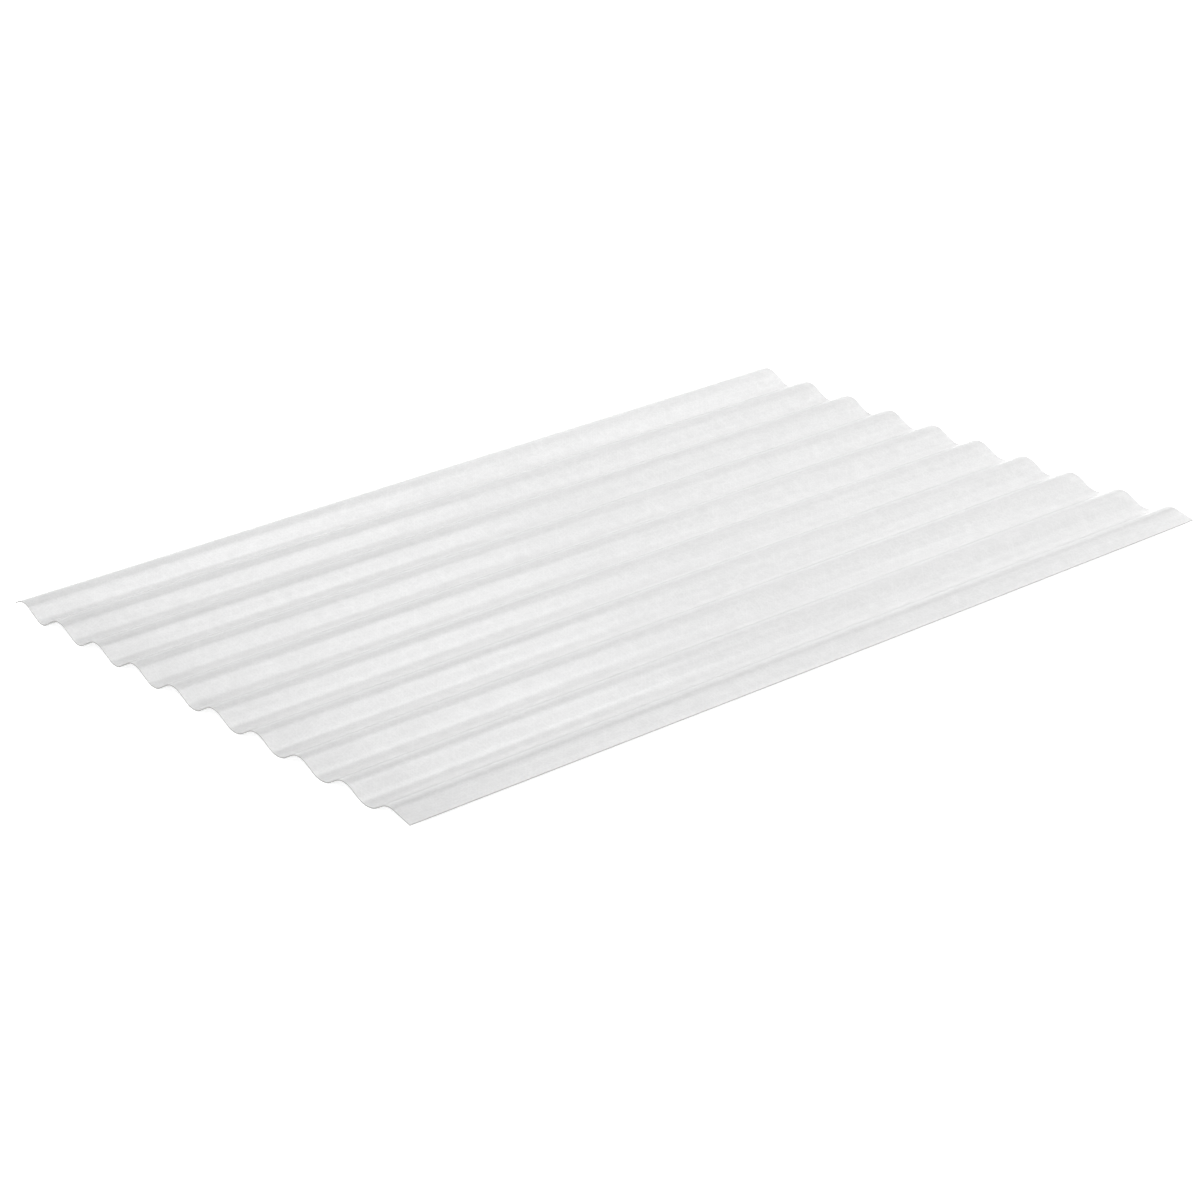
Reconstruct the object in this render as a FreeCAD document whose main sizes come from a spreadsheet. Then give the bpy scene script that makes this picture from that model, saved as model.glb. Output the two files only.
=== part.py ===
# Corrugated fiberglass roofing panel, moulded as one thin sheet.
#
# The sheet lies as it would on a level floor: Z is up, Y runs along the
# corrugations and X across them. The origin is at the bottom, in the middle of
# the panel's length and width. All lengths are in millimetres.
import FreeCAD, Part
import enum
import math
import os

import Sketcher

# Driving dimensions: alias, value, what it is.
DRIVING = (
    ("pitch", 67.73, "crest to crest, 2-2/3 in"),
    ("wave_count", 9, "full waves between the first and the last crest"),
    ("wave_depth", 12.0, "from trough to crest, at mid-thickness"),
    ("slope_angle", 29.0, "steepest slope of the wave, in degrees"),
    ("sheet_length", 981.0, "along the corrugations"),
    ("thickness", 1.0, "of the moulded sheet"),
    ("right_lip", 27.9, "from the last crest to the right edge"),
    ("right_lip_angle", 15.0, "slope of the flattened right lip, in degrees"),
)

# Values that follow from them. The bend radius makes the straight slopes
# tangent to the crests and the troughs.
DERIVED = (
    ("half_pitch", "=pitch / 2", "from a crest to the trough beside it"),
    ("left_lip", "=pitch / 4", "the left edge is cut halfway down the slope"),
    ("slope_cosine", "=cos(slope_angle * 1 deg)", "of the steepest slope"),
    ("slope_sine", "=sin(slope_angle * 1 deg)", "of the steepest slope"),
    (
        "bend_radius",
        "=(half_pitch * slope_sine - wave_depth * slope_cosine) / (1 - slope_cosine) / 2",
        "of crests and troughs, at mid-thickness",
    ),
    ("outer_radius", "=bend_radius + thickness / 2", "on the bulging face of a bend"),
    ("inner_radius", "=bend_radius - thickness / 2", "on the hollow face of a bend"),
    ("crest_height", "=wave_depth + thickness", "from the floor to the top face"),
    ("crest_span", "=pitch * wave_count", "from the first crest to the last"),
    (
        "middle",
        "=(crest_span + right_lip - left_lip) / 2",
        "from the first crest to the middle of the width",
    ),
)

doc = FreeCAD.newDocument("corrugated_panel")

sheet = doc.addObject("Spreadsheet::Sheet", "sizes")
for row, (alias, value, note) in enumerate(DRIVING + DERIVED, start=1):
    sheet.set("A%d" % row, alias)
    sheet.set("B%d" % row, str(value))
    sheet.set("C%d" % row, note)
    sheet.setAlias("B%d" % row, alias)
doc.recompute()

panel = doc.addObject("PartDesign::Body", "panel")
panel.Label = "corrugated_panel"


class Place(enum.IntEnum):
    """Points of an arc or a line in a sketch, by the sketch's own numbers."""

    START = 1
    END = 2
    CENTRE = 3


class Axis(enum.IntEnum):
    """Axes of a sketch; the level one starts at the sketch's origin."""

    LEVEL = -1
    UPRIGHT = -2


# The radii of a crest and of a trough, and the height of the crest, on each face.
TOP_FACE = ("outer_radius", "inner_radius", "crest_height")
UNDERSIDE = ("inner_radius", "outer_radius", "wave_depth")


def size(alias):
    """Value of a cell, for the first guess of a sketch."""
    return float(sheet.get(alias))


def origin_feature(role):
    """One of the body's own planes or axes."""
    return next(f for f in panel.Origin.OriginFeatures if f.Role == role)


def cross_section(name):
    """Empty sketch across the corrugations: its x is X and its y is Z."""
    sketch = panel.newObject("Sketcher::SketchObject", name)
    sketch.AttachmentSupport = [(origin_feature("XZ_Plane"), "")]
    sketch.MapMode = "FlatFace"
    return sketch


def bind(sketch, kind, places, alias):
    """Dimension in a sketch that follows a cell of the sheet."""
    number = sketch.addConstraint(Sketcher.Constraint(kind, *places, size(alias)))
    sketch.setExpression("Constraints[%d]" % number, "sizes.%s" % alias)


def bind_angle(sketch, line, degrees, expression):
    """Direction of a line, counted from the x axis."""
    turn = Sketcher.Constraint("Angle", line, math.radians(degrees))
    number = sketch.addConstraint(turn)
    sketch.setExpression("Constraints[%d]" % number, expression)


def add_arc(sketch, centre_x, centre_y, radius, first, last):
    """Arc between two angles in degrees, with its radius from the sheet."""
    circle = Part.Circle(
        FreeCAD.Vector(centre_x, centre_y, 0), FreeCAD.Vector(0, 0, 1), size(radius)
    )
    arc = sketch.addGeometry(
        Part.ArcOfCircle(circle, math.radians(first), math.radians(last))
    )
    bind(sketch, "Radius", (arc,), radius)
    return arc


def end_point(sketch, item, place):
    """Where an end of a line or arc is now."""
    return sketch.getPoint(item, place)


def add_line(sketch, start, end):
    """Straight line between two points."""
    return sketch.addGeometry(Part.LineSegment(start, end))


def place_on_crest(sketch, item, place, crest):
    """Put a point above or below a crest; None is the first one, at x = 0."""
    if crest is None:
        sketch.addConstraint(
            Sketcher.Constraint("PointOnObject", item, place, Axis.UPRIGHT)
        )
    else:
        bind(sketch, "DistanceX", (Axis.LEVEL, Place.START, item, place), crest)


def add_half_crest(sketch, crest, hand, angle, radius, height):
    """Arc from the top of a crest down one side, -1 for the left and 1 for the right.

    Returns the arc, its end at the top and its end at the slope.
    """
    crest_x = 0.0 if crest is None else size(crest)
    centre_y = size(height) - size(radius)
    if hand > 0:
        arc = add_arc(sketch, crest_x, centre_y, radius, 90 - angle, 90)
        top, foot = Place.END, Place.START
    else:
        arc = add_arc(sketch, crest_x, centre_y, radius, 90, 90 + angle)
        top, foot = Place.START, Place.END
    place_on_crest(sketch, arc, Place.CENTRE, crest)
    place_on_crest(sketch, arc, top, crest)
    bind(sketch, "DistanceY", (Axis.LEVEL, Place.START, arc, top), height)
    return arc, top, foot


def join_smoothly(sketch, first, first_end, second, second_end):
    """Join two ends so that one runs on into the other."""
    sketch.addConstraint(
        Sketcher.Constraint("Tangent", first, first_end, second, second_end)
    )


def close_across(sketch, faces):
    """Cut edge of the sheet, between the same end of both faces."""
    (upper, upper_end), (lower, lower_end) = faces
    cut = add_line(
        sketch,
        end_point(sketch, upper, upper_end),
        end_point(sketch, lower, lower_end),
    )
    sketch.addConstraint(
        [
            Sketcher.Constraint("Coincident", cut, Place.START, upper, upper_end),
            Sketcher.Constraint("Coincident", cut, Place.END, lower, lower_end),
        ]
    )


def draw_wave():
    """One wave of the sheet, from the first crest through a trough to the second."""
    sketch = cross_section("wave_section")
    angle = size("slope_angle")
    first_ends = []
    last_ends = []
    for crest_radius, trough_radius, height in (TOP_FACE, UNDERSIDE):
        falling, top, fall_start = add_half_crest(
            sketch, None, 1, angle, crest_radius, height
        )
        rising, second_top, rise_end = add_half_crest(
            sketch, "pitch", -1, angle, crest_radius, height
        )
        trough = add_arc(
            sketch,
            size("half_pitch"),
            size("outer_radius"),
            trough_radius,
            270 - angle,
            270 + angle,
        )
        bind(sketch, "DistanceX", (Axis.LEVEL, Place.START, trough, Place.CENTRE), "half_pitch")
        bind(sketch, "DistanceY", (Axis.LEVEL, Place.START, trough, Place.CENTRE), "outer_radius")
        for crest, crest_end, trough_end in (
            (falling, fall_start, Place.START),
            (rising, rise_end, Place.END),
        ):
            slope = add_line(
                sketch,
                end_point(sketch, crest, crest_end),
                end_point(sketch, trough, trough_end),
            )
            join_smoothly(sketch, crest, crest_end, slope, Place.START)
            join_smoothly(sketch, slope, Place.END, trough, trough_end)
        first_ends.append((falling, top))
        last_ends.append((rising, second_top))
    close_across(sketch, first_ends)
    close_across(sketch, last_ends)
    return sketch


def draw_lip(name, crest, hand, reach, angle, direction):
    """Half crest and straight slope, from a crest out to a long edge of the sheet."""
    sketch = cross_section(name)
    crest_x = 0.0 if crest is None else size(crest)
    edge_x = crest_x + hand * size(reach)
    crest_ends = []
    edge_ends = []
    for crest_radius, _, height in (TOP_FACE, UNDERSIDE):
        arc, top, foot = add_half_crest(
            sketch, crest, hand, size(angle), crest_radius, height
        )
        joint = end_point(sketch, arc, foot)
        fall = abs(edge_x - joint.x) * math.tan(math.radians(size(angle)))
        edge = FreeCAD.Vector(edge_x, joint.y - fall, 0)
        slope = add_line(sketch, edge, joint)
        join_smoothly(sketch, slope, Place.END, arc, foot)
        if hand > 0:
            bind(sketch, "DistanceX", (arc, Place.CENTRE, slope, Place.START), reach)
        else:
            bind(sketch, "DistanceX", (slope, Place.START, arc, Place.CENTRE), reach)
        turn = 180 - size(angle) if hand > 0 else size(angle)
        bind_angle(sketch, slope, turn, direction)
        crest_ends.append((arc, top))
        edge_ends.append((slope, Place.START))
    close_across(sketch, crest_ends)
    close_across(sketch, edge_ends)
    return sketch


def pad_along(sketch, name):
    """Draw the section out along the corrugations, half to each side."""
    pad = panel.newObject("PartDesign::Pad", name)
    pad.Profile = sketch
    pad.SideType = "Symmetric"
    pad.setExpression("Length", "sizes.sheet_length")
    pad.Refine = True
    panel.Tip = pad
    return pad


# The waves: one is drawn, and the rest follow it across the sheet.
wave_section = draw_wave()
first_wave = pad_along(wave_section, "first_wave")
waves = panel.newObject("PartDesign::LinearPattern", "waves")
waves.Originals = [first_wave]
waves.Direction = (wave_section, ["H_Axis"])
waves.Mode = "Spacing"
waves.setExpression("Offset", "sizes.pitch")
waves.setExpression("Occurrences", "sizes.wave_count")
waves.Refine = True
panel.Tip = waves

# The lips: the left one is the regular wave cut halfway down, and the right one
# is longer and flatter, so that the next panel laps over it.
left_lip_section = draw_lip(
    "left_lip_section", None, -1, "left_lip", "slope_angle", "sizes.slope_angle * 1 deg"
)
pad_along(left_lip_section, "left_lip")
right_lip_section = draw_lip(
    "right_lip_section",
    "crest_span",
    1,
    "right_lip",
    "right_lip_angle",
    "(180 - sizes.right_lip_angle) * 1 deg",
)
pad_along(right_lip_section, "right_lip")

# The middle of the width goes to the origin.
panel.setExpression("Placement.Base.x", "-sizes.middle")
doc.recompute()

# Stop on anything that failed, before a file is written.
for item in doc.Objects:
    if "Invalid" in item.State or "Error" in item.State:
        raise RuntimeError("%s failed: %s" % (item.Name, item.State))
    if item.TypeId == "Sketcher::SketchObject" and item.solve() != 0:
        raise RuntimeError("%s can't be solved" % item.Name)
if panel.Shape.isNull() or not panel.Shape.isValid():
    raise RuntimeError("the panel's shape isn't valid")
if len(panel.Shape.Solids) != 1:
    raise RuntimeError("the panel isn't one solid")

os.makedirs("parts", exist_ok=True)
panel.Shape.exportStep("parts/%s.step" % panel.Label)
box = panel.Shape.BoundBox
print("%s %.1f x %.1f x %.1f mm" % (panel.Label, box.XLength, box.YLength, box.ZLength))
print("volume %.0f mm3, %d faces" % (panel.Shape.Volume, len(panel.Shape.Faces)))
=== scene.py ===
"""Looks of a corrugated fiberglass panel: the sheet, its finish, and a plain studio.

Lengths are in metres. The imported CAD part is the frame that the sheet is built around.
"""

import math

import bpy
from bpy.props import FloatProperty, FloatVectorProperty, IntProperty, PointerProperty
from mathutils import Matrix, Vector


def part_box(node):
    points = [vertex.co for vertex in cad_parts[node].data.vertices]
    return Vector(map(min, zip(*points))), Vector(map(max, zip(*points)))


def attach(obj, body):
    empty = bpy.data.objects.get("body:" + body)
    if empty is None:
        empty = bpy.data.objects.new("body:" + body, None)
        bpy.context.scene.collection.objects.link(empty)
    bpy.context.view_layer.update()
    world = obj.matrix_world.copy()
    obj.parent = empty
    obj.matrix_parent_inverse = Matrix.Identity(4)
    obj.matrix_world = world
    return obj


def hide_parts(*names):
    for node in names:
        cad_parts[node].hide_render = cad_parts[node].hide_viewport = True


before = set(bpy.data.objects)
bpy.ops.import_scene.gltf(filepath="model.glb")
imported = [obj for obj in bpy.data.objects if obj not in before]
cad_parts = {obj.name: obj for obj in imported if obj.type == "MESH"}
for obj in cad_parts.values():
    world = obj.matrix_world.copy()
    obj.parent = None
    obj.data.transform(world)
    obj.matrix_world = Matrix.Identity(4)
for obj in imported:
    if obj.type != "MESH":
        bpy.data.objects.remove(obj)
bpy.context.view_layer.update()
NODE = "corrugated_panel"
LOW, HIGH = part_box(NODE)

bl_info = {
    "name": "Corrugated Fiberglass Panel",
    "version": (1, 0, 0),
    "blender": (4, 5, 0),
    "location": "3D View > Sidebar > Panel",
    "description": "Builds a corrugated fiberglass sheet from its wave, with its finish",
    "category": "Add Mesh",
}


# Settings

class SheetSizes(bpy.types.PropertyGroup):
    """Sizes of the sheet and of its waves."""

    pitch: FloatProperty(
        name="Pitch", description="From one crest to the next", default=0.06773, unit="LENGTH"
    )
    waves: IntProperty(
        name="Waves", description="Full waves between the first crest and the last", default=9
    )
    thickness: FloatProperty(
        name="Thickness", description="Of the moulded sheet", default=0.001, unit="LENGTH"
    )
    slope: FloatProperty(
        name="Slope",
        description="Steepest slope of the wave",
        default=math.radians(29.0),
        subtype="ANGLE",
    )
    right_lip: FloatProperty(
        name="Right lip",
        description="From the last crest to the right edge",
        default=0.0279,
        unit="LENGTH",
    )
    lip_near: FloatProperty(
        name="Lip slope, near end",
        description="Slope of the right lip at the near end",
        default=math.radians(14.4),
        subtype="ANGLE",
    )
    lip_far: FloatProperty(
        name="Lip slope, far end",
        description="Slope of the right lip at the far end",
        default=math.radians(13.6),
        subtype="ANGLE",
    )
    lip_sag: FloatProperty(
        name="Lip sag",
        description="How much steeper the right lip is in the middle of its length",
        default=math.radians(1.8),
        subtype="ANGLE",
    )
    tightening: FloatProperty(
        name="Tightening",
        description="How much smaller the troughs' radius is on the left, and larger on the right",
        default=0.0075,
        unit="LENGTH",
    )
    wander: FloatProperty(
        name="Wander",
        description="How far a wave strays sideways from its true line",
        default=0.006,
        unit="LENGTH",
    )
    lift: FloatProperty(
        name="Lift",
        description="How far the sheet rises unevenly from the floor",
        default=0.0006,
        unit="LENGTH",
    )
    across: IntProperty(
        name="Steps across", description="Points across the waves", default=460
    )
    along: IntProperty(name="Steps along", description="Points along the waves", default=91)
    seed: IntProperty(name="Seed", description="Of the sheet's unevenness", default=7)


class SheetFinish(bpy.types.PropertyGroup):
    """Colours and texture of the fiberglass."""

    resin: FloatVectorProperty(
        name="Resin",
        description="Colour of the sheet in white light",
        default=(0.815, 0.815, 0.815),
        subtype="COLOR",
        size=3,
    )
    glow: FloatVectorProperty(
        name="Glow",
        description="Colour of the light that comes through the sheet",
        default=(0.84, 0.84, 0.84),
        subtype="COLOR",
        size=3,
    )
    # The cut edge's dark grey is partly its own dull section and partly painted shade.
    cut: FloatVectorProperty(
        name="Cut edge",
        description="Colour of the sawn edge",
        default=(0.42, 0.42, 0.41),
        subtype="COLOR",
        size=3,
    )
    clear: FloatProperty(
        name="Translucency", description="Share of the light that goes through", default=0.35
    )
    roughness: FloatProperty(
        name="Roughness", description="Of the satin faces", default=0.20
    )
    cut_roughness: FloatProperty(
        name="Cut roughness", description="Of the sawn edge", default=0.80
    )
    relief: FloatProperty(
        name="Relief", description="Depth of the lines in the face", default=0.00012, unit="LENGTH"
    )
    fibre_length: FloatProperty(
        name="Fibre length", description="Of the chopped strands", default=0.030, unit="LENGTH"
    )
    fibre_width: FloatProperty(
        name="Fibre width", description="Of a strand", default=0.0011, unit="LENGTH"
    )
    cloud: FloatProperty(
        name="Cloud size", description="Of the blotches in the resin", default=0.011, unit="LENGTH"
    )


class StudioSettings(bpy.types.PropertyGroup):
    """Camera, lamps and floor."""

    aim: FloatVectorProperty(
        name="Aim",
        description="Where the camera's axis meets the floor",
        default=(0.0557, -0.0619, 0.0),
        subtype="XYZ",
        size=3,
    )
    distance: FloatProperty(
        name="Distance", description="From the aim to the camera", default=3.1517, unit="LENGTH"
    )
    azimuth: FloatProperty(
        name="Azimuth",
        description="Of the camera, 0 looks along Y",
        default=math.radians(51.506),
        subtype="ANGLE",
    )
    elevation: FloatProperty(
        name="Elevation",
        description="Of the camera over the floor",
        default=math.radians(22.918),
        subtype="ANGLE",
    )
    roll: FloatProperty(
        name="Roll", description="Of the camera", default=math.radians(-2.324), subtype="ANGLE"
    )
    lens: FloatProperty(name="Lens", description="Focal length in millimetres", default=97.214)
    ambient: FloatProperty(
        name="Ambient", description="Brightness of the light from all round", default=0.665
    )
    floor_size: FloatProperty(
        name="Floor size", description="Side of the square floor", default=24.0, unit="LENGTH"
    )


# Node helpers, for shaders and for Geometry Nodes

# Sockets of a Mix node that are used for colours.
MIX_FACTOR, MIX_FIRST, MIX_SECOND = 0, 6, 7
MIX_COLOUR = 2


class Graph:
    """Short ways to add nodes to a tree; values are sockets, numbers or tuples."""

    def __init__(self, tree):
        self.tree = tree

    def node(self, kind, **settings):
        """New node with some of its properties set."""
        made = self.tree.nodes.new(kind)
        for name, value in settings.items():
            setattr(made, name, value)
        return made

    def feed(self, socket, value):
        """Link a socket to an input, or set the input to a number or a tuple."""
        if isinstance(value, bpy.types.NodeSocket):
            self.tree.links.new(value, socket)
        else:
            socket.default_value = value

    def math(self, operation, *values):
        """Result of one sum."""
        made = self.node("ShaderNodeMath", operation=operation)
        for socket, value in zip(made.inputs, values):
            self.feed(socket, value)
        return made.outputs[0]

    def add(self, a, b):
        return self.math("ADD", a, b)

    def subtract(self, a, b):
        return self.math("SUBTRACT", a, b)

    def times(self, a, b):
        return self.math("MULTIPLY", a, b)

    def divide(self, a, b):
        return self.math("DIVIDE", a, b)

    def vector(self, x, y, z):
        """Vector of three values."""
        made = self.node("ShaderNodeCombineXYZ")
        for socket, value in zip(made.inputs, (x, y, z)):
            self.feed(socket, value)
        return made.outputs[0]

    def spread(self, value, low, high, to_low=0.0, to_high=1.0):
        """Value carried from one range to another, held inside it."""
        made = self.node("ShaderNodeMapRange", clamp=True)
        for name, number in (
            ("Value", value),
            ("From Min", low),
            ("From Max", high),
            ("To Min", to_low),
            ("To Max", to_high),
        ):
            self.feed(made.inputs[name], number)
        return made.outputs["Result"]

    def noise(self, vector, scale=1.0, detail=2.0):
        """Smooth noise from 0 to 1."""
        made = self.node("ShaderNodeTexNoise")
        made.inputs["Scale"].default_value = scale
        made.inputs["Detail"].default_value = detail
        self.feed(made.inputs["Vector"], vector)
        return made.outputs[0]

    def stretched(self, vector, scale, angle=0.0, shift=(0.0, 0.0, 0.0)):
        """Vector turned about Z and then scaled."""
        turn = self.node("ShaderNodeMapping", vector_type="POINT")
        turn.inputs["Rotation"].default_value = (0.0, 0.0, angle)
        turn.inputs["Location"].default_value = shift
        self.feed(turn.inputs["Vector"], vector)
        size = self.node("ShaderNodeVectorMath", operation="MULTIPLY")
        self.feed(size.inputs[0], turn.outputs[0])
        size.inputs[1].default_value = scale
        return size.outputs[0]

    def tinted(self, colour, tone):
        """Colour made darker or lighter by a tone; 1 leaves it as it is."""
        made = self.node("ShaderNodeMix", data_type="RGBA", blend_type="MULTIPLY")
        made.inputs[MIX_FACTOR].default_value = 1.0
        made.inputs[MIX_FIRST].default_value = (*colour, 1.0)
        self.feed(made.inputs[MIX_SECOND], self.vector(tone, tone, tone))
        return made.outputs[MIX_COLOUR]


# Materials

# Chopped strands: layers in different directions, the first one's turn as a share of
# the step between them, how fast the pattern changes through the thickness, how far
# a layer is shifted for each radian of its turn, and the noise at which a strand
# begins and is at its whitest.
STRAND_LAYERS = 6
STRAND_TURN = 0.3
STRAND_CHANGE = 60.0
STRAND_SHIFT = (3.1, 1.7)
STRAND_BEGINS = 0.50
STRAND_FULL = 0.72

# Scales of the noises, per metre. The drawn lines and streaks run along the waves.
GRAIN_SCALE = 450.0
DRAWN_SCALE = (330.0, 5.0, 1.0)
STREAK_SCALE = (170.0, 2.5, 1.0)
SAW_SCALE = 900.0

# How much strands and grain stand out beside the drawn lines.
STRAND_RELIEF = 0.35
GRAIN_RELIEF = 0.15

# Tones multiply a colour: where each starts and ends, and the tone at both.
# By height, painted light and shade: the troughs that lie on the floor are lighter and the crests
# greyer, as light through the translucent sheet falls.
TROUGH_LIGHT_TONE = (0.0015, 0.0085, 1.018, 0.985)
CREST_SHADE_TONE = (0.0095, 0.0125, 1.0, 0.945)
# By the noises.
STREAK_TONE = (0.3, 0.7, 0.978, 1.022)
STRAND_TONE = (0.05, 0.7, 0.97, 1.035)
CLOUD_TONE = (0.25, 0.75, 0.98, 1.02)
GRAIN_TONE = (0.2, 0.8, 0.97, 1.03)
SAW_TONE = (0.3, 0.7, 0.85, 1.12)
# By distance from the near end: painted shade by the cut end, and the right lip darker towards the
# near end.
NEAR_END_SHADE_TONE = (0.0, 0.07, 0.95, 1.0)
LIP_TONE = (0.0, 0.35, 0.93, 0.985)
# By distance from the left edge: painted light, lighter near that edge.
LEFT_EDGE_LIGHT_TONE = (0.02, 0.13, 1.035, 1.0)
# Right of the last crest: where the lip's darker tone comes in, and where its crease is, along
# which a line of painted shade is drawn.
LIP_BEGINS = (0.004, 0.008)
CREASE = 0.003
CREASE_SHADE_TONE = (0.001, 0.004, 0.95, 1.0)

RESIN_IOR = 1.5


def new_material(name):
    """Empty node material, its graph and its output."""
    material = bpy.data.materials.new(name)
    material.use_nodes = True
    material.node_tree.nodes.clear()
    graph = Graph(material.node_tree)
    return material, graph, graph.node("ShaderNodeOutputMaterial")


def strand_layer(graph, place, angle, finish):
    """Strands that lie in about one direction: 1 on a strand, 0 between them."""
    scale = (1 / finish.fibre_length, 1 / finish.fibre_width, STRAND_CHANGE)
    shift = (STRAND_SHIFT[0] * angle, STRAND_SHIFT[1] * angle, 0.0)
    noise = graph.noise(graph.stretched(place, scale, angle, shift), detail=1.0)
    return graph.spread(noise, STRAND_BEGINS, STRAND_FULL)


def chopped_strands(graph, place, finish):
    """Strands that lie in all directions, from 0 up to about 1."""
    total = 0.0
    for number in range(STRAND_LAYERS):
        angle = math.pi * (number + STRAND_TURN) / STRAND_LAYERS
        total = graph.add(total, strand_layer(graph, place, angle, finish))
    return graph.divide(total, STRAND_LAYERS / 2)


def lip_tone_and_crease_shade(graph, right, near):
    """Tone of the right lip, by how far right of the last crest and from the near end, with painted
    shade along its crease.
    """
    lip = graph.spread(right, *LIP_BEGINS, 1.0, graph.spread(near, *LIP_TONE))
    from_crease = graph.math("ABSOLUTE", graph.subtract(right, CREASE))
    return graph.times(lip, graph.spread(from_crease, *CREASE_SHADE_TONE))


def fiberglass(finish, sizes):
    """Satin, slightly translucent sheet with its glass strands just showing."""
    material, graph, output = new_material("fiberglass_sheet")
    place = graph.node("ShaderNodeTexCoord").outputs["Object"]
    split = graph.node("ShaderNodeSeparateXYZ")
    graph.feed(split.inputs[0], place)
    x, y, height = split.outputs
    right = graph.subtract(x, HIGH.x - sizes.right_lip)
    left = graph.subtract(x, LOW.x)
    near = graph.subtract(y, LOW.y)
    strands = chopped_strands(graph, place, finish)
    clouds = graph.noise(place, 1 / finish.cloud)
    grain = graph.noise(place, GRAIN_SCALE)
    drawn = graph.noise(graph.stretched(place, DRAWN_SCALE))
    streaks = graph.noise(graph.stretched(place, STREAK_SCALE))

    # The tones by height, by the near end, by the left edge and along the lip's crease are painted
    # light and shade; the noises are the resin's own mottling.
    tone = lip_tone_and_crease_shade(graph, right, near)
    for value, levels in (
        (height, TROUGH_LIGHT_TONE),
        (height, CREST_SHADE_TONE),
        (near, NEAR_END_SHADE_TONE),
        (left, LEFT_EDGE_LIGHT_TONE),
        (streaks, STREAK_TONE),
        (strands, STRAND_TONE),
        (clouds, CLOUD_TONE),
        (grain, GRAIN_TONE),
    ):
        tone = graph.times(tone, graph.spread(value, *levels))

    # Relief: fine lines drawn along the waves, and the strands just standing out.
    bump = graph.node("ShaderNodeBump")
    bump.inputs["Strength"].default_value = 1.0
    bump.inputs["Distance"].default_value = finish.relief
    relief = graph.add(drawn, graph.times(strands, STRAND_RELIEF))
    graph.feed(bump.inputs["Height"], graph.add(relief, graph.times(grain, GRAIN_RELIEF)))

    surface = graph.node("ShaderNodeBsdfPrincipled")
    graph.feed(surface.inputs["Base Color"], graph.tinted(finish.resin, tone))
    surface.inputs["Roughness"].default_value = finish.roughness
    surface.inputs["IOR"].default_value = RESIN_IOR
    graph.feed(surface.inputs["Normal"], bump.outputs[0])
    through = graph.node("ShaderNodeBsdfTranslucent")
    graph.feed(through.inputs["Color"], graph.tinted(finish.glow, tone))
    mix = graph.node("ShaderNodeMixShader")
    mix.inputs[0].default_value = finish.clear
    graph.feed(mix.inputs[1], surface.outputs[0])
    graph.feed(mix.inputs[2], through.outputs[0])
    graph.feed(output.inputs["Surface"], mix.outputs[0])
    return material


def sawn_edge(finish):
    """Dull cut edge, where the glass and resin show in section; its dark grey is partly painted
    shade.
    """
    material, graph, output = new_material("fiberglass_cut_edge")
    place = graph.node("ShaderNodeTexCoord").outputs["Object"]
    tone = graph.spread(graph.noise(place, SAW_SCALE), *SAW_TONE)
    surface = graph.node("ShaderNodeBsdfPrincipled")
    graph.feed(surface.inputs["Base Color"], graph.tinted(finish.cut, tone))
    surface.inputs["Roughness"].default_value = finish.cut_roughness
    graph.feed(output.inputs["Surface"], surface.outputs[0])
    return material


# The sheet

WAVE_INPUTS = (
    ("Width", "NodeSocketFloat"),
    ("Length", "NodeSocketFloat"),
    ("First crest", "NodeSocketFloat"),
    ("Pitch", "NodeSocketFloat"),
    ("Waves", "NodeSocketFloat"),
    ("Depth", "NodeSocketFloat"),
    ("Slope", "NodeSocketFloat"),
    ("Bend radius", "NodeSocketFloat"),
    ("Tightening", "NodeSocketFloat"),
    ("Lip slope near", "NodeSocketFloat"),
    ("Lip slope far", "NodeSocketFloat"),
    ("Lip sag", "NodeSocketFloat"),
    ("Floor gap", "NodeSocketFloat"),
    ("Wander", "NodeSocketFloat"),
    ("Lift", "NodeSocketFloat"),
    ("Seed", "NodeSocketFloat"),
    ("Steps across", "NodeSocketInt"),
    ("Steps along", "NodeSocketInt"),
    ("Finish", "NodeSocketMaterial"),
)

# How fast the straying changes: from one crest to the next, and over the whole length.
WANDER_CHANGE = (1.7, 1.2)

# How fast the lift changes, per metre across and along the waves.
LIFT_CHANGE = (2.2, 1.8)

# Keeps the pattern of the lift apart from that of the straying.
LIFT_SEED = 11.0

# Faces that meet at more than this show a crisp edge, as the cut edges do.
CUT_ANGLE = math.radians(40.0)

# A cut edge's normal rises less than this; the moulded faces all lie flatter.
CUT_RISE = 0.7


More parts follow.
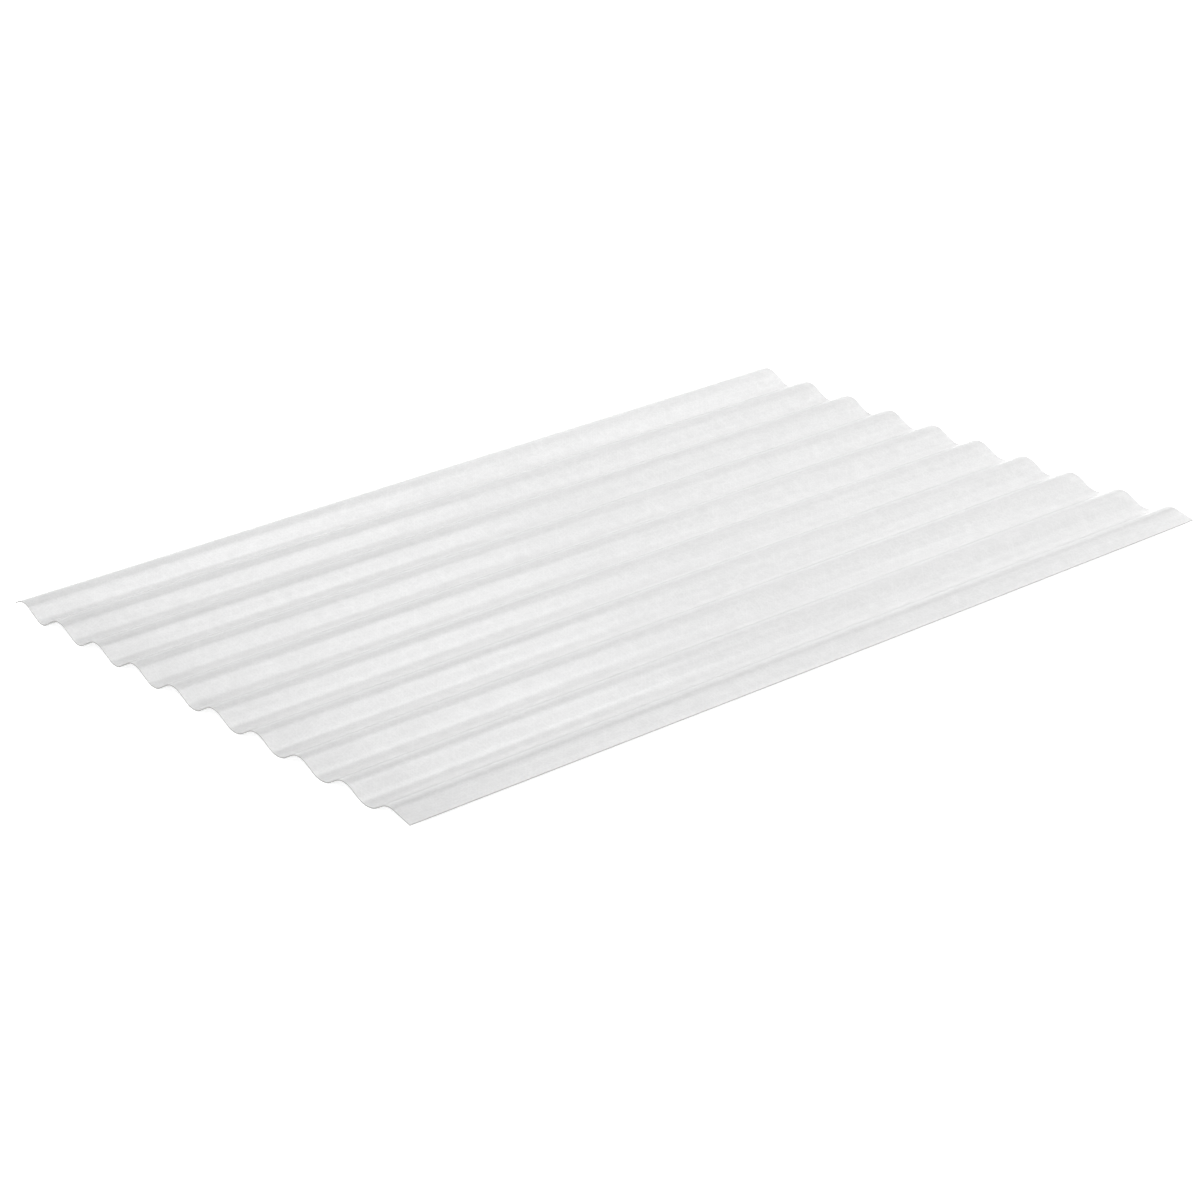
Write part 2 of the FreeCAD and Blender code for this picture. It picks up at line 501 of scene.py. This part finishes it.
def wave_tree():
    """Geometry Nodes: a level grid bent into arcs joined by straight slopes."""
    tree = bpy.data.node_groups.new("corrugated_sheet", "GeometryNodeTree")
    for name, kind in WAVE_INPUTS:
        tree.interface.new_socket(name=name, in_out="INPUT", socket_type=kind)
    tree.interface.new_socket(name="Sheet", in_out="OUTPUT", socket_type="NodeSocketGeometry")
    g = Graph(tree)
    given = g.node("NodeGroupInput").outputs

    grid = g.node("GeometryNodeMeshGrid")
    g.feed(grid.inputs["Size X"], given["Width"])
    g.feed(grid.inputs["Size Y"], given["Length"])
    g.feed(grid.inputs["Vertices X"], given["Steps across"])
    g.feed(grid.inputs["Vertices Y"], given["Steps along"])
    split = g.node("ShaderNodeSeparateXYZ")
    g.feed(split.inputs[0], g.node("GeometryNodeInputPosition").outputs[0])
    x, y = split.outputs["X"], split.outputs["Y"]

    # Nearest crest, and how far each point is from it.
    along = g.add(g.divide(y, given["Length"]), 0.5)
    from_first = g.subtract(x, given["First crest"])
    number = g.math("ROUND", g.divide(from_first, given["Pitch"]))
    number = g.math("MAXIMUM", g.math("MINIMUM", number, given["Waves"]), 0.0)
    offset = g.subtract(from_first, g.times(number, given["Pitch"]))
    away = g.math("ABSOLUTE", offset)

    # On the right lip the slope is flatter, and no trough follows it.
    on_lip = g.times(
        g.math("GREATER_THAN", offset, 0.0),
        g.math("GREATER_THAN", number, g.subtract(given["Waves"], 0.5)),
    )
    # The bow is 1 halfway along the lip and 0 at both ends.
    bow = g.times(g.times(along, g.subtract(1.0, along)), 4.0)
    lip_near = g.times(given["Lip slope near"], g.subtract(1.0, along))
    lip_far = g.times(given["Lip slope far"], along)
    lip = g.add(g.add(lip_near, lip_far), g.times(given["Lip sag"], bow))
    slope = g.add(g.times(given["Slope"], g.subtract(1.0, on_lip)), g.times(lip, on_lip))
    half = g.times(given["Pitch"], 0.5)

    def arc_height(radius, reach):
        """Height of a bend's circle over its centre, at a distance from its top."""
        square = g.subtract(g.times(radius, radius), g.times(reach, reach))
        return g.math("SQRT", square)

    # Troughs are a little tighter and deeper on the left, and the reverse on the right.
    tighter = g.divide(g.times(g.times(x, -2.0), given["Tightening"]), given["Width"])
    crest_radius = given["Bend radius"]
    trough_radius = g.subtract(given["Bend radius"], tighter)
    secant = g.divide(1.0, g.math("COSINE", given["Slope"]))
    deeper = g.times(tighter, g.subtract(secant, 1.0))
    crest_arc = g.times(crest_radius, g.math("SINE", slope))
    trough_arc = g.times(trough_radius, g.math("SINE", slope))
    # The lip's trough is put a metre away, so that its slope runs straight on.
    trough = g.add(g.subtract(half, trough_arc), on_lip)

    # How far each point lies below the crest: bend, slope, then the trough's bend.
    on_crest = g.math("MINIMUM", away, crest_arc)
    on_slope = g.subtract(g.math("MINIMUM", away, trough), on_crest)
    on_trough = g.math("MINIMUM", g.subtract(half, away), trough_arc)
    on_trough = g.add(g.times(on_trough, g.subtract(1.0, on_lip)), g.times(trough_arc, on_lip))
    drop = g.subtract(crest_radius, arc_height(crest_radius, on_crest))
    drop = g.add(drop, g.times(on_slope, g.math("TANGENT", slope)))
    turned = g.subtract(arc_height(trough_radius, on_trough), arc_height(trough_radius, trough_arc))
    drop = g.add(drop, turned)
    crest_height = g.add(g.add(given["Floor gap"], given["Depth"]), deeper)
    height = g.subtract(crest_height, drop)

    # The unevenness of a real sheet: waves that stray a little and rise off the floor.
    line = g.vector(
        g.times(number, WANDER_CHANGE[0]), g.times(along, WANDER_CHANGE[1]), given["Seed"]
    )
    stray = g.times(g.subtract(g.noise(line, detail=1.0), 0.5), given["Wander"])
    calm = g.spread(away, 0.0, half, 1.0, 0.0)
    spot = g.vector(
        g.times(x, LIFT_CHANGE[0]), g.times(y, LIFT_CHANGE[1]), g.add(given["Seed"], LIFT_SEED)
    )
    rise = g.times(g.noise(spot, detail=1.0), given["Lift"])

    bent = g.node("GeometryNodeSetPosition")
    g.feed(bent.inputs["Geometry"], grid.outputs["Mesh"])
    moved = g.vector(g.add(x, g.times(stray, calm)), y, g.add(height, rise))
    g.feed(bent.inputs["Position"], moved)
    smooth = g.node("GeometryNodeSetShadeSmooth")
    g.feed(smooth.inputs["Geometry"], bent.outputs[0])
    real = g.node("GeometryNodeRealizeInstances")
    g.feed(real.inputs["Geometry"], smooth.outputs[0])
    paint = g.node("GeometryNodeSetMaterial")
    g.feed(paint.inputs["Geometry"], real.outputs[0])
    g.feed(paint.inputs["Material"], given["Finish"])
    g.feed(g.node("NodeGroupOutput").inputs["Sheet"], paint.outputs[0])
    return tree


def bend_radius(half_pitch, depth, slope):
    """Radius of crests and troughs that straight slopes join smoothly."""
    fall = half_pitch * math.sin(slope) - depth * math.cos(slope)
    return fall / (1 - math.cos(slope)) / 2


def wave_values(sizes, material):
    """What the tree's inputs get, by name."""
    depth = HIGH.z - LOW.z - sizes.thickness
    return {
        "Width": HIGH.x - LOW.x,
        "Length": HIGH.y - LOW.y,
        "First crest": HIGH.x - sizes.right_lip - sizes.waves * sizes.pitch,
        "Pitch": sizes.pitch,
        "Waves": float(sizes.waves),
        "Depth": depth,
        "Slope": sizes.slope,
        "Bend radius": bend_radius(sizes.pitch / 2, depth, sizes.slope),
        "Tightening": sizes.tightening,
        "Lip slope near": sizes.lip_near,
        "Lip slope far": sizes.lip_far,
        "Lip sag": sizes.lip_sag,
        "Floor gap": sizes.thickness / 2,
        "Wander": sizes.wander,
        "Lift": sizes.lift,
        "Seed": float(sizes.seed),
        "Steps across": sizes.across,
        "Steps along": sizes.along,
        "Finish": material,
    }


def add_object(name, data):
    """New object in the scene."""
    made = bpy.data.objects.new(name, data)
    bpy.context.scene.collection.objects.link(made)
    return made


def freeze(draft, name):
    """Plain mesh object of what the draft's modifiers make; the draft goes."""
    bpy.context.view_layer.update()
    evaluated = draft.evaluated_get(bpy.context.evaluated_depsgraph_get())
    mesh = bpy.data.meshes.new_from_object(evaluated)
    mesh.name = name
    mesh.set_sharp_from_angle(angle=CUT_ANGLE)
    bpy.data.objects.remove(draft)
    return add_object(name, mesh)


def finish_faces(mesh, face, edge):
    """Give the moulded faces one material and the cut edges the other."""
    mesh.materials.clear()
    mesh.materials.append(face)
    mesh.materials.append(edge)
    for polygon in mesh.polygons:
        polygon.material_index = int(abs(polygon.normal.z) < CUT_RISE)


class OBJECT_OT_add_fiberglass_sheet(bpy.types.Operator):
    """Add the corrugated sheet, bent by its nodes and given its thickness"""

    bl_idname = "object.add_fiberglass_sheet"
    bl_label = "Fiberglass Sheet"

    def execute(self, context):
        sizes = context.scene.sheet_sizes
        finish = context.scene.sheet_finish
        face = fiberglass(finish, sizes)
        draft = add_object("sheet_draft", bpy.data.meshes.new("sheet_draft"))
        nodes = draft.modifiers.new("waves", "NODES")
        nodes.node_group = wave_tree()
        values = wave_values(sizes, face)
        for item in nodes.node_group.interface.items_tree:
            if item.in_out == "INPUT":
                nodes[item.identifier] = values[item.name]
        wall = draft.modifiers.new("wall", "SOLIDIFY")
        wall.thickness = sizes.thickness
        wall.offset = 0.0
        wall.use_even_offset = True
        sheet = freeze(draft, "fiberglass_sheet")
        finish_faces(sheet.data, face, sawn_edge(finish))
        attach(sheet, "root")
        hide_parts(NODE)
        return {"FINISHED"}


# The studio

# Colour of the floor, and how much is added where it is seen, so that it looks white.
FLOOR_COLOUR = (0.80, 0.80, 0.80, 1.0)
FLOOR_LIFT = 0.70

# How high the white backdrop reaches, as a share of straight up, and how it fades.
BACKDROP_TOP = 0.3
BACKDROP_FADE = 0.1

# Lamps: name, shape, place, what it points at, width, height, power in watts.
LAMPS = (
    ("umbrella", "DISK", (-0.10, 0.45, 1.6), (-0.10, 0.45, 0.0), 1.24, 1.24, 16.2),
    ("back_softbox", "DISK", (-0.15, 1.7, 2.45), (0.0, 0.0, 0.0), 1.5, 1.5, 3.9),
    ("right_softbox", "RECTANGLE", (1.6, 1.0, 1.3), (0.1, 0.2, 0.0), 1.2, 1.0, 14.4),
    ("left_softbox", "RECTANGLE", (-4.8, -2.4, 2.4), (0.0, 0.0, 0.0), 3.2, 2.0, 185.0),
)

SENSOR_WIDTH = 36.0


def shows_backdrop(graph):
    """1 for rays that see the backdrop itself: from the camera, a mirror or clear glass."""
    path = graph.node("ShaderNodeLightPath").outputs
    clear = graph.subtract(path["Is Transmission Ray"], path["Is Diffuse Ray"])
    seen = graph.math("MAXIMUM", path["Is Camera Ray"], path["Is Glossy Ray"])
    return graph.math("MAXIMUM", seen, clear)


def floor_material():
    """Pale matt floor that looks white where no shadow falls."""
    material, graph, output = new_material("pale_floor")
    matt = graph.node("ShaderNodeBsdfDiffuse")
    matt.inputs["Color"].default_value = FLOOR_COLOUR
    lift = graph.node("ShaderNodeEmission")
    graph.feed(lift.inputs["Strength"], graph.times(shows_backdrop(graph), FLOOR_LIFT))
    both = graph.node("ShaderNodeAddShader")
    graph.feed(both.inputs[0], matt.outputs[0])
    graph.feed(both.inputs[1], lift.outputs[0])
    graph.feed(output.inputs["Surface"], both.outputs[0])
    return material


def studio_world(ambient):
    """Even soft light from all round, before a white backdrop that fades upwards."""
    world = bpy.data.worlds.new("studio")
    world.use_nodes = True
    world.node_tree.nodes.clear()
    graph = Graph(world.node_tree)
    split = graph.node("ShaderNodeSeparateXYZ")
    graph.feed(split.inputs[0], graph.node("ShaderNodeTexCoord").outputs["Generated"])
    low, high = BACKDROP_TOP - BACKDROP_FADE, BACKDROP_TOP + BACKDROP_FADE
    backdrop = graph.spread(split.outputs["Z"], low, high, 1.0, 0.0)
    backdrop = graph.times(backdrop, shows_backdrop(graph))
    path = graph.node("ShaderNodeLightPath").outputs
    seen = graph.math("MAXIMUM", path["Is Camera Ray"], backdrop)
    lit = graph.times(path["Is Diffuse Ray"], ambient)
    light = graph.node("ShaderNodeBackground")
    light.inputs["Color"].default_value = (1.0, 1.0, 1.0, 1.0)
    graph.feed(light.inputs["Strength"], graph.math("MAXIMUM", seen, lit))
    output = graph.node("ShaderNodeOutputWorld")
    graph.feed(output.inputs["Surface"], light.outputs[0])
    return world


def add_lamp(name, shape, place, target, width, height, power):
    """Soft lamp turned towards a point, not seen by the camera."""
    light = bpy.data.lights.new(name, "AREA")
    light.shape = shape
    light.size = width
    if shape == "RECTANGLE":
        light.size_y = height
    light.energy = power
    lamp = add_object(name, light)
    away = Vector(place) - Vector(target)
    lamp.rotation_euler = away.to_track_quat("Z", "Y").to_euler()
    lamp.location = place
    lamp.visible_camera = False


class SCENE_OT_add_floor_and_lamps(bpy.types.Operator):
    """Add the floor, the soft lamps and the light from all round"""

    bl_idname = "scene.add_floor_and_lamps"
    bl_label = "Floor and Lamps"

    def execute(self, context):
        studio = context.scene.studio_settings
        half = studio.floor_size / 2
        mesh = bpy.data.meshes.new("floor")
        corners = [(-half, -half, 0.0), (half, -half, 0.0), (half, half, 0.0), (-half, half, 0.0)]
        mesh.from_pydata(corners, [], [(0, 1, 2, 3)])
        mesh.materials.append(floor_material())
        add_object("floor", mesh)
        context.scene.world = studio_world(studio.ambient)
        for lamp in LAMPS:
            add_lamp(*lamp)
        context.scene.view_settings.view_transform = "Standard"
        return {"FINISHED"}


class SCENE_OT_add_view(bpy.types.Operator):
    """Add the camera"""

    bl_idname = "scene.add_view"
    bl_label = "Camera"

    def execute(self, context):
        studio = context.scene.studio_settings
        turn, lift, roll = studio.azimuth, studio.elevation, studio.roll
        back = Vector(
            (math.sin(turn) * math.cos(lift), -math.cos(turn) * math.cos(lift), math.sin(lift))
        )
        level = Vector((math.cos(turn), math.sin(turn), 0.0))
        upright = back.cross(level)
        right = level * math.cos(roll) + upright * math.sin(roll)
        up = upright * math.cos(roll) - level * math.sin(roll)
        data = bpy.data.cameras.new("view")
        data.lens = studio.lens
        data.sensor_width = SENSOR_WIDTH
        camera = add_object("view", data)
        place = Vector(studio.aim) + back * studio.distance
        axes = Matrix((right, up, back)).transposed()
        camera.matrix_world = Matrix.Translation(place) @ axes.to_4x4()
        context.scene.camera = camera
        return {"FINISHED"}


class VIEW3D_PT_fiberglass_panel(bpy.types.Panel):
    """Sizes, finish and studio of the panel"""

    bl_label = "Corrugated Fiberglass"
    bl_space_type = "VIEW_3D"
    bl_region_type = "UI"
    bl_category = "Panel"

    def draw(self, context):
        for group in (
            context.scene.sheet_sizes,
            context.scene.sheet_finish,
            context.scene.studio_settings,
        ):
            column = self.layout.column(align=True)
            for name in group.__annotations__:
                column.prop(group, name)
        for operator in OPERATORS:
            self.layout.operator(operator.bl_idname)


OPERATORS = (
    OBJECT_OT_add_fiberglass_sheet,
    SCENE_OT_add_floor_and_lamps,
    SCENE_OT_add_view,
)
CLASSES = (SheetSizes, SheetFinish, StudioSettings, *OPERATORS, VIEW3D_PT_fiberglass_panel)


def register():
    """Make the classes and the scene's settings known."""
    for made in CLASSES:
        bpy.utils.register_class(made)
    bpy.types.Scene.sheet_sizes = PointerProperty(type=SheetSizes)
    bpy.types.Scene.sheet_finish = PointerProperty(type=SheetFinish)
    bpy.types.Scene.studio_settings = PointerProperty(type=StudioSettings)


def unregister():
    """Undo register."""
    del bpy.types.Scene.studio_settings
    del bpy.types.Scene.sheet_finish
    del bpy.types.Scene.sheet_sizes
    for made in reversed(CLASSES):
        bpy.utils.unregister_class(made)


def main():
    """Build the sheet and the studio."""
    register()
    bpy.ops.object.add_fiberglass_sheet()
    bpy.ops.scene.add_floor_and_lamps()
    bpy.ops.scene.add_view()


if __name__ == "__main__":
    main()
